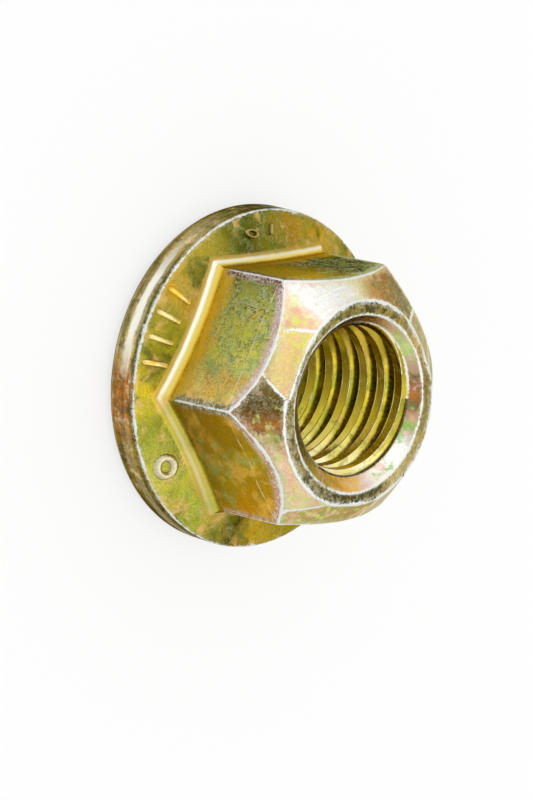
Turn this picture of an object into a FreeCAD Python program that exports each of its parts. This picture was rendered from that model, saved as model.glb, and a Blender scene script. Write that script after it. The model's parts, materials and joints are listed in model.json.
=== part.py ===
import FreeCAD, Part
import math
import os

# Hexagon flange nut, M10 x 1.5, with a prevailing-torque crown.
# Millimetres and degrees. The thread axis is Z and the bearing face lies at Z = 0.
# A flat faces each of 30, 90, 150, 210, 270 and 330 degrees, so two corners lie on the X axis.

# Overall sizes
nut_height = 11.3
flat_count = 6
across_flats = 15.0

# Flange: reach past the hexagon's corners, rounded lower rim, drafted rim wall, crest and sloping top
flange_overhang = 1.89
rim_lower_radius = 0.8
rim_draft = 4.5
crest_height = 2.5
crest_radius = 0.18
flange_slope = 18.6

# Hexagon: concave foot on the flange, and a drafted band, which starts this far under the crown's corners
foot_radius = 0.9
band_clearance = 0.25
band_draft = 8.0

# Crown: cone that cuts the corners, and the flat land round the hole, which ends this far inside the flats
crown_slope = 47.0
land_setback = 1.12

# Crimps: pressed facets above every second flat, which squeeze the last turns of thread
crimp_count = 3
crimp_direction = 30.0
crimp_slope = 37.0
crimp_depth = 0.49

# Hole: plain bore at the thread's minor diameter, with a countersink at each end
minor_diameter = 8.7
top_countersink_diameter = 10.76
top_countersink_angle = 90.0
bottom_countersink_diameter = 10.8
bottom_countersink_angle = 90.0

# Cutting solids reach this far past the faces that they cut
cut_margin = 2.0

# Two heights or distances closer than this count as the same when an edge is looked up
same_place = 1e-6


def slope_of(angle):
    return math.tan(math.radians(angle))


full_turn = 360.0
sector_angle = full_turn / flat_count
flat_distance = across_flats / 2
corner_distance = flat_distance / math.cos(math.radians(sector_angle / 2))
flat_width = across_flats * slope_of(sector_angle / 2)
flange_radius = corner_distance + flange_overhang
land_radius = flat_distance - land_setback
crown_corner_height = nut_height - (corner_distance - land_radius) * slope_of(crown_slope)
band_height = crown_corner_height - band_clearance
minor_radius = minor_diameter / 2
origin = FreeCAD.Vector(0, 0, 0)
up = FreeCAD.Vector(0, 0, 1)


def at(radius, height):
    return FreeCAD.Vector(radius, 0, height)


def line(start, end):
    return Part.LineSegment(start, end).toShape()


def turned(edges):
    return Part.Face(Part.Wire(edges)).revolve(origin, up, full_turn)


def turned_outline(points):
    return Part.Face(Part.makePolygon(points + points[:1])).revolve(origin, up, full_turn)


def turn_to(shape, angle):
    copy = shape.copy()
    copy.rotate(origin, up, angle)
    return copy


def is_at(value, wanted):
    return abs(value - wanted) < same_place


def flange_crest_radius():
    return flange_radius - (crest_height - rim_lower_radius) * slope_of(rim_draft)


def is_crest_edge(edge):
    box = edge.BoundBox
    return is_at(box.ZMin, crest_height) and is_at(box.ZMax, crest_height)


def make_flange():
    # The lower rim is a quarter round, and the rim wall leans in by its draft up to the crest.
    bearing_radius = flange_radius - rim_lower_radius
    round_mid = rim_lower_radius * math.cos(math.radians(full_turn / 8))
    crest = at(flange_crest_radius(), crest_height)
    peak = at(0, crest_height + flange_crest_radius() * slope_of(flange_slope))
    rim_round = Part.Arc(
        at(bearing_radius, 0),
        at(bearing_radius + round_mid, rim_lower_radius - round_mid),
        at(flange_radius, rim_lower_radius),
    )
    edges = [
        line(origin, at(bearing_radius, 0)),
        rim_round.toShape(),
        line(at(flange_radius, rim_lower_radius), crest),
        line(crest, peak),
        line(peak, origin),
    ]
    flange = turned(edges)
    crest_edges = [edge for edge in flange.Edges if is_crest_edge(edge)]
    return flange.makeFillet(crest_radius, crest_edges)


def make_flat_block(half_width):
    # One side of the hexagon, wider than its sector: a plumb flat with the drafted band above it.
    band_top = flat_distance - (nut_height - band_height) * slope_of(band_draft)
    side = [
        at(0, 0),
        at(flat_distance, 0),
        at(flat_distance, band_height),
        at(band_top, nut_height),
        at(0, nut_height),
    ]
    face = Part.Face(Part.makePolygon(side + side[:1]))
    face.translate(FreeCAD.Vector(0, -half_width, 0))
    return face.extrude(FreeCAD.Vector(0, 2 * half_width, 0))


def make_sector_wedge():
    half = math.radians(sector_angle / 2)
    reach = (flange_radius + cut_margin) / math.cos(half)
    corners = [
        FreeCAD.Vector(0, 0, -cut_margin),
        FreeCAD.Vector(reach * math.cos(half), -reach * math.sin(half), -cut_margin),
        FreeCAD.Vector(reach * math.cos(half), reach * math.sin(half), -cut_margin),
    ]
    wedge = Part.Face(Part.makePolygon(corners + corners[:1]))
    return wedge.extrude(up * (nut_height + 2 * cut_margin))


def is_foot_edge(edge):
    box = edge.BoundBox
    on_flat = is_at(box.XMin, flat_distance) and is_at(box.XMax, flat_distance)
    runs_along = box.YLength > flat_width
    return on_flat and runs_along and box.ZMin > 0 and box.ZMax < band_height


def make_side(flange):
    # The concave foot is rolled along one flat and trimmed by the sector, so neighbours meet in a mitre.
    half_width = (flat_distance + foot_radius) * slope_of(sector_angle / 2)
    blank = turn_to(flange, full_turn / 2).fuse(make_flat_block(half_width))
    foot_edges = [edge for edge in blank.Edges if is_foot_edge(edge)]
    blank = blank.makeFillet(foot_radius, foot_edges)
    return blank.common(make_sector_wedge()).cut(flange)


def make_blank():
    flange = make_flange()
    side = make_side(flange)
    directions = [sector_angle / 2 + index * sector_angle for index in range(flat_count)]
    return flange.multiFuse([turn_to(side, direction) for direction in directions]).removeSplitter()


def crown_envelope():
    outer = flange_radius + cut_margin
    drop = (outer - land_radius) * slope_of(crown_slope)
    points = [
        at(0, -cut_margin),
        at(outer, -cut_margin),
        at(outer, nut_height - drop),
        at(land_radius, nut_height),
        at(0, nut_height),
    ]
    return turned_outline(points)


def make_crimp(direction):
    # A flat tool pressed in at the land: a plane that leans less than the crown cone.
    lift = cut_margin * slope_of(crimp_slope)
    chord = land_radius - crimp_depth
    points = [
        at(chord - cut_margin, nut_height + lift),
        at(chord + 2 * cut_margin, nut_height - 2 * lift),
        at(chord + 2 * cut_margin, nut_height + lift),
    ]
    face = Part.Face(Part.makePolygon(points + points[:1]))
    face.translate(FreeCAD.Vector(0, -flat_distance, 0))
    return turn_to(face.extrude(FreeCAD.Vector(0, across_flats, 0)), direction)


def make_hole():
    top_slope = slope_of(top_countersink_angle / 2)
    bottom_slope = slope_of(bottom_countersink_angle / 2)
    top_radius = top_countersink_diameter / 2
    bottom_radius = bottom_countersink_diameter / 2
    points = [
        at(0, -cut_margin),
        at(bottom_radius + cut_margin * bottom_slope, -cut_margin),
        at(minor_radius, (bottom_radius - minor_radius) / bottom_slope),
        at(minor_radius, nut_height - (top_radius - minor_radius) / top_slope),
        at(top_radius + cut_margin * top_slope, nut_height + cut_margin),
        at(0, nut_height + cut_margin),
    ]
    return turned_outline(points)


def make_flange_nut():
    nut = make_blank().common(crown_envelope())
    for index in range(crimp_count):
        nut = nut.cut(make_crimp(crimp_direction + index * full_turn / crimp_count))
    return nut.cut(make_hole()).removeSplitter().Solids[0]


os.makedirs("parts", exist_ok=True)
flange_nut = make_flange_nut()
flange_nut.exportStep("parts/flange_nut.step")
print("flange_nut:", len(flange_nut.Faces), "faces,", round(flange_nut.Volume, 1), "mm3, valid", flange_nut.isValid())
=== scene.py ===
import bpy
import json
import math
import numpy as np
from mathutils import Matrix, Vector, noise


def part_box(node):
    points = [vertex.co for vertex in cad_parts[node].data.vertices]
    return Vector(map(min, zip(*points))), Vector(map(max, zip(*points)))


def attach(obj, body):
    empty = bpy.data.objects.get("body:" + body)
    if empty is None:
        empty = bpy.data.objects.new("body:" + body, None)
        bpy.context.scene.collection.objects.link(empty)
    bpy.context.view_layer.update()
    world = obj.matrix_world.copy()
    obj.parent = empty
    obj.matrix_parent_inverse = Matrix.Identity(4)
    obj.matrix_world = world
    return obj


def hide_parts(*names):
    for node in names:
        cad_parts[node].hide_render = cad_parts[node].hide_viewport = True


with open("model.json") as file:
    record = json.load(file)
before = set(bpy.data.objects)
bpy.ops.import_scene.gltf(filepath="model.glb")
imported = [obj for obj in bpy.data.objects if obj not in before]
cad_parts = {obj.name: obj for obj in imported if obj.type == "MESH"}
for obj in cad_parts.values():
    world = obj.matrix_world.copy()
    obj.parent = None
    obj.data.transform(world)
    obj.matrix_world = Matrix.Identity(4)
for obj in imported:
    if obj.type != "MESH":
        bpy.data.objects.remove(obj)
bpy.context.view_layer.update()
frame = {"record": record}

mm = 0.001
mounts = {mount["name"]: mount for mount in frame["record"]["mounts"]}
nutLow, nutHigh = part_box("flange_nut")
nutHeight = nutHigh[2] / mm
rimRadius = (nutHigh[0] - nutLow[0]) / 2 / mm
flatDistance = math.hypot(*mounts["flat_30"]["pos_m"][:2]) / mm
boreRadius = mounts["thread"]["dims"]["r_mm"]


# The nut's outside, in millimetres and degrees. The crown and the hole's mouth sit a little off the axis.
nut = {
    "rimRound": 0.8, "rimShort": 0.16, "rimShortTurn": 134,
    "crestHeight": 2.5, "crestDraft": 2.4, "crestRound": 0.18,
    "flangeSlope": 18.6, "footRound": 0.9, "cornerRound": 0.2,
    "bandHeight": 8.6, "bandDraft": 8, "bandRound": 1.2,
    "crownSlope": 47, "crownFoot": 8.3, "crownRound": 0.11,
    "landRadius": 6.3, "landShift": 0.25, "landShiftTurn": 115, "landRound": 0.12, "landReach": (5.2, 7.2),
    "mouthRadius": 5.42, "mouthShift": 0.28, "mouthShiftTurn": 116, "mouthRound": 0.08,
    "mouthEndRadius": 4.67, "mouthEndHeight": 10.62,
    "heelRadius": 5.4, "heelSlope": 45, "heelRound": 0.08,
    "crimpBlend": 0.06, "crimpWall": 1.1, "crimpCurl": 0.75, "squeezeReach": 30,
    "crimpSpan": (-0.2, 1.3), "crimpFade": (1.6, 0.3), "crownProbe": 0.3,
    "bulge": 0.46, "bulgeTurn": 149, "bulgeFull": 16, "bulgeEnd": 38, "bulgeHeight": 10.25,
    "ripple": 0.012, "rippleSize": 1.7, "rippleSeed": 5,
    "landRagged": {"depth": 0.035, "radius": 6, "size": 0.45, "seed": 3},
    "mouthRagged": {"depth": 0.02, "radius": 5.4, "size": 0.4, "seed": 8},
}

# Rows of the profile: on its arcs, then on the stretches between them
arcRows = {"heel": 2, "rim": 7, "crest": 4, "foot": 9, "band": 2, "edge": 4, "land": 4, "mouth": 4}
plainRows = {
    "heel": 2, "bearing": 5, "rim": 6, "flange": 12, "side": 12, "band": 6, "crown": 26, "land": 5,
    "mouth": 6,
}

# Worn edges: how wide each is worn bare, and how far its surroundings are touched
worn = {
    "crest": (0.11, 0.25), "edge": (0.12, 0.65), "land": (0.13, 0.3), "mouth": (0.08, 0.15),
    "mouthEnd": (0.05, 0.1), "corner": (0.09, 0.42), "facet": (0.12, 0.25),
    "threadCrest": 0.04, "threadEnd": 0.07,
}

# The pressed facets: the turns of their sides at the land and at the hexagon's edge, their radius at the
# land and their slope, and by how much and where each squeezes the land in
crimps = [
    {"atLand": (8, 57), "atEdge": (21, 41), "radius": 5.79, "slope": 35.2, "squeeze": (0.36, 24)},
    {"atLand": (129, 167), "atEdge": (118, 160), "radius": 6.36, "slope": 38, "squeeze": (0, 148)},
    {"atLand": (250, 287), "atEdge": (261, 279), "radius": 5.74, "slope": 34, "squeeze": (0.25, 268)},
]

# The M10 x 1.5 thread: rows lie along the helix, at these distances from a crest's middle
thread = {
    "pitch": 1.5, "phase": 0.05, "rootRadius": 5.0, "crestWear": 0.05, "crestHalf": 0.3, "rootHalf": 0.1,
    "bottom": 0.4, "fade": 0.9, "softening": 0.035,
    "rows": (0, 0.22, 0.265, 0.3, 0.335, 0.4, 0.6, 0.65, 0.69),
}

# Columns round the axis: their degrees from each corner, and how many steps lie between those
columns = {"nearCorner": (0, 0.3, 0.6, 0.9, 1.3, 1.8), "between": 56}


def slopeOf(degrees):
    return math.tan(math.radians(degrees))


def columnTurns():
    near = list(columns["nearCorner"])
    start = near[-1]
    step = (60 - 2 * start) / columns["between"]
    sector = near + [start + step * i for i in range(1, columns["between"])] + [60 - x for x in near[:0:-1]]
    return np.radians([60 * k + turn for k in range(6) for turn in sector])


def smoothStep(values):
    values = np.clip(values, 0, 1)
    return values * values * (3 - 2 * values)


def closeness(away, reach):
    return np.exp(-(away / reach) ** 2)


def turnFrom(turns, degrees):
    # Angle from a direction, in degrees, from -180 to 180
    return (np.degrees(turns) - degrees + 180) % 360 - 180


def unevenness(x, y, z, size, seed):
    return noise.noise(Vector((x / size + seed, y / size, z / size)))


def ragged(turns, edge):
    places = zip(edge["radius"] * np.cos(turns), edge["radius"] * np.sin(turns))
    return edge["depth"] * np.array([unevenness(x, y, 0, edge["size"], edge["seed"]) for x, y in places])


def halved(low, high, isBelow, rounds=40):
    # The place between low and high, in every column, up to which isBelow holds
    for i in range(rounds):
        middle = (low + high) / 2
        below = isBelow(middle)
        low = np.where(below, middle, low)
        high = np.where(below, high, middle)
    return low


def shifted(radius, shift, turns, shiftTurn):
    return radius + shift * np.cos(turns - math.radians(shiftTurn))


def cornerReach(turns):
    # How much further the rounded hexagon's wall stands at each turn than in the middle of a flat
    fromFlat = np.abs(np.degrees(turns) % 60 - 30)
    rounding = nut["cornerRound"]
    straightEnd = math.degrees(math.atan((flatDistance - rounding) * slopeOf(30) / flatDistance))
    centre = (flatDistance - rounding) / math.cos(math.radians(30))
    fromCorner = np.radians(30 - fromFlat)
    under = np.maximum(rounding ** 2 - (centre * np.sin(fromCorner)) ** 2, 0)
    onArc = (centre * np.cos(fromCorner) + np.sqrt(under)) / flatDistance
    return np.where(fromFlat <= straightEnd, 1 / np.cos(np.radians(fromFlat)), onArc)


def wallRadius(height, turns, reach):
    # The band leans in above the flats, apart from the flat that the press pushed out
    rise = height - nut["bandHeight"]
    away = np.abs(turnFrom(turns, nut["bulgeTurn"]))
    push = nut["bulge"] * smoothStep((nut["bulgeEnd"] - away) / (nut["bulgeEnd"] - nut["bulgeFull"]))
    outward = push * rise / (nut["bulgeHeight"] - nut["bandHeight"])
    return (flatDistance - rise * slopeOf(nut["bandDraft"])) * reach + outward


def point(radius, height, turns):
    return np.stack([radius + 0 * turns, height + 0 * turns], axis=1)


def roundOff(before, corner, after, radius, count):
    # An arc of the given radius that takes the place of a corner of the profile, in every column
    toBefore = before - corner
    toAfter = after - corner
    toBefore = toBefore / np.linalg.norm(toBefore, axis=1)[:, None]
    toAfter = toAfter / np.linalg.norm(toAfter, axis=1)[:, None]
    half = np.arccos(np.clip((toBefore * toAfter).sum(axis=1), -0.999999, 1)) / 2
    radius = radius + 0 * half
    middle = toBefore + toAfter
    middle = middle / np.linalg.norm(middle, axis=1)[:, None]
    centre = corner + middle * (radius / np.sin(half))[:, None]
    tangent = (radius / np.tan(half))[:, None]
    first = corner + toBefore * tangent - centre
    last = corner + toAfter * tangent - centre
    sweep = math.pi - 2 * half
    arc = []
    for i in range(count + 1):
        share = i / count
        start = (np.sin((1 - share) * sweep) / np.sin(sweep))[:, None]
        end = (np.sin(share * sweep) / np.sin(sweep))[:, None]
        arc.append(centre + first * start + last * end)
    return arc


def straight(start, end, count):
    return [start + (end - start) * (i / count) for i in range(1, count)]


def coneHeight(radius, turns):
    # The crown's cone leans from the land, off centre and squeezed in, to one circle round the corners
    land = shifted(nut["landRadius"], nut["landShift"], turns, nut["landShiftTurn"])
    for crimp in crimps:
        squeeze, squeezeTurn = crimp["squeeze"]
        land = land - squeeze * closeness(turnFrom(turns, squeezeTurn), nut["squeezeReach"])
    drop = (nut["crownFoot"] - nut["landRadius"]) * slopeOf(nut["crownSlope"])
    return nutHeight - (radius - land) * drop / (nut["crownFoot"] - land)


def insideCrimp(crimp, radius, turns):
    # Degrees inside the facet's nearer side; below zero outside
    share = np.clip((radius - crimp["radius"]) / (flatDistance - crimp["radius"]), *nut["crimpSpan"])
    first, last = (inner + (outer - inner) * share for inner, outer in zip(crimp["atLand"], crimp["atEdge"]))
    middle = (first + last) / 2
    return (last - first) / 2 - np.abs(turnFrom(turns, middle))


def crownHeight(radius, turns):
    # The crown is the lowest of its cone and the pressed facets, which have short steep sides
    height = coneHeight(radius, turns)
    for crimp in crimps:
        inside = insideCrimp(crimp, radius, turns)
        side = coneHeight(radius, turns) - np.radians(inside) * radius * nut["crimpWall"]
        away = np.radians(turnFrom(turns, sum(crimp["atLand"]) / 2)) * nut["crimpCurl"]
        facet = nutHeight - (radius * np.cos(away) - crimp["radius"]) * slopeOf(crimp["slope"])
        pressed = np.maximum(facet, side)
        gap = height - pressed
        height = (height + pressed - np.sqrt(gap ** 2 + nut["crimpBlend"] ** 2)) / 2
    return height


def landEdge(turns):
    # Radius at which the crown meets the land
    low, high = (np.full_like(turns, radius) for radius in nut["landReach"])
    return halved(low, high, lambda radius: crownHeight(radius, turns) > nutHeight)


def crownEdge(turns, reach):
    # Where the drafted band meets the crown
    low, high = (np.full_like(turns, height) for height in (nut["bandHeight"], nutHeight))
    height = halved(low, high, lambda height: crownHeight(wallRadius(height, turns, reach), turns) > height)
    return np.stack([wallRadius(height, turns, reach), height], axis=1)


def heelAt(height):
    # Radius of the lower countersink
    return nut["heelRadius"] - height * slopeOf(nut["heelSlope"])


def crestRadius():
    return rimRadius - (nut["crestHeight"] - nut["rimRound"]) * slopeOf(nut["crestDraft"])


def flangeTop(radius):
    return nut["crestHeight"] + (crestRadius() - radius) * slopeOf(nut["flangeSlope"])


def outsideRows(turns):
    # Rings of the profile from the lower end of the thread, round the outside, to its upper end
    reach = cornerReach(turns)
    short = nut["rimShort"] * (shifted(1, 1, turns, nut["rimShortTurn"]) / 2) ** 2
    heelStart = point(heelAt(thread["bottom"]), thread["bottom"], turns)
    heel = point(nut["heelRadius"], 0, turns)
    rim = point(rimRadius - short, 0, turns)
    wall = point(rimRadius - short, nut["rimRound"], turns)
    crest = point(crestRadius(), nut["crestHeight"], turns)
    footRadius = flatDistance * reach
    foot = point(footRadius, flangeTop(footRadius), turns)
    band = point(footRadius, nut["bandHeight"], turns)
    edge = crownEdge(turns, reach)
    landRadius = landEdge(turns) + ragged(turns, nut["landRagged"])
    land = point(landRadius, nutHeight, turns)
    mouthRadius = shifted(nut["mouthRadius"], nut["mouthShift"], turns, nut["mouthShiftTurn"])
    mouth = point(mouthRadius + ragged(turns, nut["mouthRagged"]), nutHeight, turns)
    mouthEnd = point(nut["mouthEndRadius"], nut["mouthEndHeight"], turns)
    crownNearEdge = edge[:, 0] - nut["crownProbe"]
    belowEdge = np.stack([crownNearEdge, crownHeight(crownNearEdge, turns)], axis=1)
    crownNearLand = landRadius + nut["crownProbe"]
    aboveEdge = np.stack([crownNearLand, crownHeight(crownNearLand, turns)], axis=1)

    heelArc = roundOff(heelStart, heel, rim, nut["heelRound"], arcRows["heel"])
    rimArc = roundOff(heel, rim, wall, nut["rimRound"], arcRows["rim"])
    crestArc = roundOff(wall, crest, foot, nut["crestRound"], arcRows["crest"])
    footArc = roundOff(crest, foot, band, nut["footRound"] * reach, arcRows["foot"])
    bandArc = roundOff(foot, band, edge, nut["bandRound"], arcRows["band"])
    edgeArc = roundOff(band, edge, belowEdge, nut["crownRound"], arcRows["edge"])
    landArc = roundOff(aboveEdge, land, mouth, nut["landRound"], arcRows["land"])
    mouthArc = roundOff(land, mouth, mouthEnd, nut["mouthRound"], arcRows["mouth"])
    crown = straight(edgeArc[-1], landArc[0], plainRows["crown"])
    for ring in crown:
        ring[:, 1] = crownHeight(ring[:, 0], turns)

    def between(name, start, end):
        # Rows on a stretch that neither end belongs to
        return straight(start, end, plainRows[name])

    parts = [
        ("heel", [heelStart] + between("heel", heelStart, heelArc[0]) + heelArc),
        ("bearing", between("bearing", heelArc[-1], rimArc[0]) + rimArc[:1]),
        ("rim", rimArc[1:] + between("rim", rimArc[-1], crestArc[0]) + crestArc[:3]),
        ("flange", crestArc[3:] + between("flange", crestArc[-1], footArc[0]) + footArc[:1]),
        ("foot", footArc[1:]),
        ("side", between("side", footArc[-1], bandArc[0]) + bandArc),
        ("side", between("band", bandArc[-1], edgeArc[0]) + edgeArc[:3]),
        ("crown", edgeArc[3:] + crown + landArc[:3]),
        ("land", landArc[3:] + between("land", landArc[-1], mouthArc[0]) + mouthArc[:3]),
        ("mouth", mouthArc[3:] + between("mouth", mouthArc[-1], mouthEnd) + [mouthEnd]),
    ]
    lines = {"crest": crest, "edge": edge, "land": land, "mouth": mouth, "mouthEnd": mouthEnd}
    edges = [(line, *worn[name]) for name, line in lines.items()]
    return parts, edges


def threadRadius(height, turns):
    # The 60 degree thread form. It fades in under the upper countersink and is cut back by the lower one.
    pitch = thread["pitch"]
    crest = boreRadius + thread["crestWear"]
    place = ((height - thread["phase"]) / pitch - turns / (2 * math.pi) + 0.5) % 1 - 0.5
    fromCrest = np.abs(place) * pitch
    flankEnd = pitch / 2 - thread["rootHalf"]
    share = np.clip((fromCrest - thread["crestHalf"]) / (flankEnd - thread["crestHalf"]), 0, 1)
    soft = share - thread["softening"] * np.sin(2 * math.pi * share)
    form = crest + (thread["rootRadius"] - crest) * soft
    below = nut["mouthEndHeight"] - height
    form = np.minimum(form, nut["mouthEndRadius"] + below * thread["fade"])
    lead = (nut["mouthRadius"] - nut["mouthEndRadius"]) / (nutHeight - nut["mouthEndHeight"])
    mouth = nut["mouthEndRadius"] - below * lead
    return np.maximum(np.maximum(form, mouth), heelAt(height))


def threadRows(turns):
    # Rows that climb with the helix, held between the thread's two ends, each with its closeness to a crest
    pitch = thread["pitch"]
    up = list(thread["rows"])
    offsets = up + [pitch / 2] + [pitch - x for x in up[:0:-1]]
    climb = turns / (2 * math.pi)
    firstTurn = math.ceil(nut["mouthEndHeight"] / pitch)
    lastTurn = math.floor(thread["bottom"] / pitch) - 2
    rows = []
    wear = []
    crest = []
    for turn in range(firstTurn, lastTurn, -1):
        for offset in offsets:
            height = (turn + climb) * pitch - offset + thread["phase"]
            height = np.clip(height, thread["bottom"], nut["mouthEndHeight"])
            rows.append(np.stack([threadRadius(height, turns), height], axis=1))
            fromCrest = min(offset, pitch - offset)
            onCrest = max(0, 1 - abs(fromCrest - thread["crestHalf"]) / worn["threadCrest"])
            wear.append(np.maximum(onCrest, closeness(nut["mouthEndHeight"] - height, worn["threadEnd"])))
            crest.append(1.0 if fromCrest < thread["crestHalf"] else 0.0)
    return rows, wear, crest, len(offsets)


def rowWear(row, edges, turns, zone):
    # Closeness to a worn edge, on it and round it: the profile's edges, the corners and the facets' sides
    wear = np.zeros(len(turns))
    near = np.zeros(len(turns))
    places = [(np.linalg.norm(row - line, axis=1), width, reach) for line, width, reach in edges]
    if zone == "side":
        fromCorner = 30 - np.abs(np.degrees(turns) % 60 - 30)
        places.append((np.radians(fromCorner) * row[:, 0], *worn["corner"]))
    if zone == "crown":
        for crimp in crimps:
            inside = np.radians(insideCrimp(crimp, row[:, 0], turns))
            places.append((np.abs(inside * row[:, 0]), *worn["facet"]))
    for away, width, reach in places:
        wear = np.maximum(wear, closeness(away, width))
        near = np.maximum(near, closeness(away, reach))
    return wear, near


def rowPressed(row, turns, zone):
    if zone != "crown":
        return np.zeros(len(turns))
    reach, start = nut["crimpFade"]
    inside = [smoothStep(insideCrimp(crimp, row[:, 0], turns) / reach + start) for crimp in crimps]
    return np.max(inside, axis=0)


def joined(rows, zones, perTurn=0):
    # Faces between neighbouring rows, each with its zone. On the helix the last column meets the first one
    # a full turn further on.
    count = len(rows[0])
    faces = []
    for r in range(len(rows) - 1):
        for c in range(count):
            shift = perTurn if c == count - 1 else 0
            if r < shift:
                continue
            d = (c + 1) % count
            corners = (rows[r][c], rows[r - shift][d], rows[r + 1 - shift][d], rows[r + 1][c])
            corners = tuple(dict.fromkeys(corners))
            if len(corners) > 2:
                faces.append((corners, zones[r + 1]))
    return faces


def makeNut():
    turns = columnTurns()
    parts, edges = outsideRows(turns)
    helix, helixWear, helixCrest, perTurn = threadRows(turns)
    places = {}
    vertices = []
    values = {"wear": [], "near": [], "pressed": [], "across": []}

    def vertex(radius, height, turn, zone, given):
        key = (round(float(radius), 5), round(float(height), 5), round(float(turn), 6))
        if key not in places:
            places[key] = len(vertices)
            x, y = radius * math.cos(turn), radius * math.sin(turn)
            if zone in ("side", "crown"):
                wave = unevenness(x, y, height, nut["rippleSize"], nut["rippleSeed"])
                ripple = 1 + nut["ripple"] * wave / radius
                x, y = x * ripple, y * ripple
            vertices.append((x, y, height))
            for name, value in zip(values, given):
                values[name].append(value)
        return places[key]

    def ring(row, zone, *given):
        # The points of one row, with the values that the shaders read there
        given = np.stack([value + 0 * turns for value in given], axis=1)
        points = zip(row, turns, given)
        return [vertex(radius, height, turn, zone, each) for (radius, height), turn, each in points]

    outside = []
    zones = []
    for zone, rows in parts:
        for i, row in enumerate(rows):
            # Share across the foot and the rim, which places their bands of painted light
            across = (i + 1) / len(rows) if zone in ("foot", "rim") else 0
            wear, near = rowWear(row, edges, turns, zone)
            outside.append(ring(row, zone, wear, near, rowPressed(row, turns, zone), across))
            zones.append(zone)
    climbing = zip(helix, helixWear, helixCrest)
    inside = [ring(row, "thread", wear, 0, crest, 0) for row, wear, crest in climbing]
    return vertices, joined(outside, zones) + joined(inside, ["thread"] * len(inside), perTurn), values


def makeMesh(name, vertices, faces):
    mesh = bpy.data.meshes.new(name)
    mesh.from_pydata([(x * mm, y * mm, z * mm) for x, y, z in vertices], [], faces)
    mesh.update()
    mesh.shade_smooth()
    piece = bpy.data.objects.new(name, mesh)
    bpy.context.scene.collection.objects.link(piece)
    return piece


def dress(piece):
    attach(piece, "root")


def addValues(piece, name, values):
    piece.data.attributes.new(name, "FLOAT", "POINT").data.foreach_set("value", values)


# Settings of the small effects: a noise has its detail, roughness and distortion
shading = {
    "fibres": (2.0, 0.6, 1.4), "fibreCore": 0.3, "waves": (3.0, 0.5), "waver": (4.0, 0.6),
    "grainMiddle": 0.6, "grainRoughness": 0.25,
}


# Short names for shader nodes and their sums, in one node tree
class Nodes:
    def __init__(self, tree):
        self.tree = tree

    def add(self, kind, **settings):
        node = self.tree.nodes.new(kind)
        for name, value in settings.items():
            setattr(node, name, value)
        return node

    def feed(self, socket, value):
        if isinstance(value, bpy.types.NodeSocket):
            self.tree.links.new(value, socket)
        elif isinstance(value, tuple) and len(value) == 3 and socket.type == "RGBA":
            socket.default_value = (*value, 1)
        else:
            socket.default_value = value

    def filled(self, kind, values, **settings):
        node = self.add(kind, **settings)
        for label, value in values.items():
            self.feed(node.inputs[label], value)
        return node

    def math(self, operation, first, second=0.0):
        return self.filled("ShaderNodeMath", {0: first, 1: second}, operation=operation).outputs[0]

    def times(self, first, second):
        return self.math("MULTIPLY", first, second)

    def plus(self, first, second):
        return self.math("ADD", first, second)

    def minus(self, first, second):
        return self.math("SUBTRACT", first, second)

    def over(self, first, second):
        return self.math("DIVIDE", first, second)

    def blend(self, share, first, second, how="MIX"):
        values = {"Factor": share, "A": first, "B": second}
        return self.filled("ShaderNodeMix", values, data_type="RGBA", blend_type=how).outputs["Result"]

    def step(self, value, low, high):
        values = {"Value": value, "From Min": low, "From Max": high}
        return self.filled("ShaderNodeMapRange", values, interpolation_type="SMOOTHSTEP").outputs["Result"]

    def noise(self, place, scale, detail=2.0, rough=0.5, warp=0.0):
        values = {"Vector": place, "Scale": scale, "Detail": detail, "Roughness": rough, "Distortion": warp}
        return self.filled("ShaderNodeTexNoise", values).outputs["Fac"]

    def wander(self, place, scale, detail, rough):
        # Noise about zero
        return self.minus(self.noise(place, scale, detail, rough), 0.5)

    def value(self, name):
        return self.add("ShaderNodeAttribute", attribute_name=name).outputs["Fac"]

    def place(self):
        # Object coordinates in millimetres
        values = {0: self.add("ShaderNodeTexCoord").outputs["Object"], "Scale": 1 / mm}
        return self.filled("ShaderNodeVectorMath", values, operation="SCALE").outputs[0]

    def axes(self, place):
        outputs = self.filled("ShaderNodeSeparateXYZ", {0: place}).outputs
        return outputs["X"], outputs["Y"], outputs["Z"]

    def turn(self, x, y, side=1.0):
        # Angle round the axis; its seam lies at turn 180, or at 0 with side -1
        return self.math("ARCTAN2", self.times(y, side), self.times(x, side))

    def fibres(self, place, scale, thin):
        # Fine curly lines: 1 on a line, 0 between lines
        wave = self.noise(place, scale, *shading["fibres"])
        ridge = self.math("ABSOLUTE", self.minus(wave, 0.5))
        return self.minus(1.0, self.step(ridge, thin * shading["fibreCore"], thin))


# The effects that every plated surface shares, each a node group with inputs for colours and for numbers
def startGroup(name, colours, numbers, outputs):
    group = bpy.data.node_groups.new(name, "ShaderNodeTree")
    sockets = [(label, "INPUT", "Color") for label in colours]
    sockets += [(label, "INPUT", "Float") for label in numbers]
    sockets += [(label, "OUTPUT", "Color" if label == "Colour" else "Float") for label in outputs]
    for label, way, kind in sockets:
        group.interface.new_socket(label, in_out=way, socket_type="NodeSocket" + kind)
    nodes = Nodes(group)
    return group, nodes, nodes.add("NodeGroupInput").outputs, nodes.add("NodeGroupOutput").inputs


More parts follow.
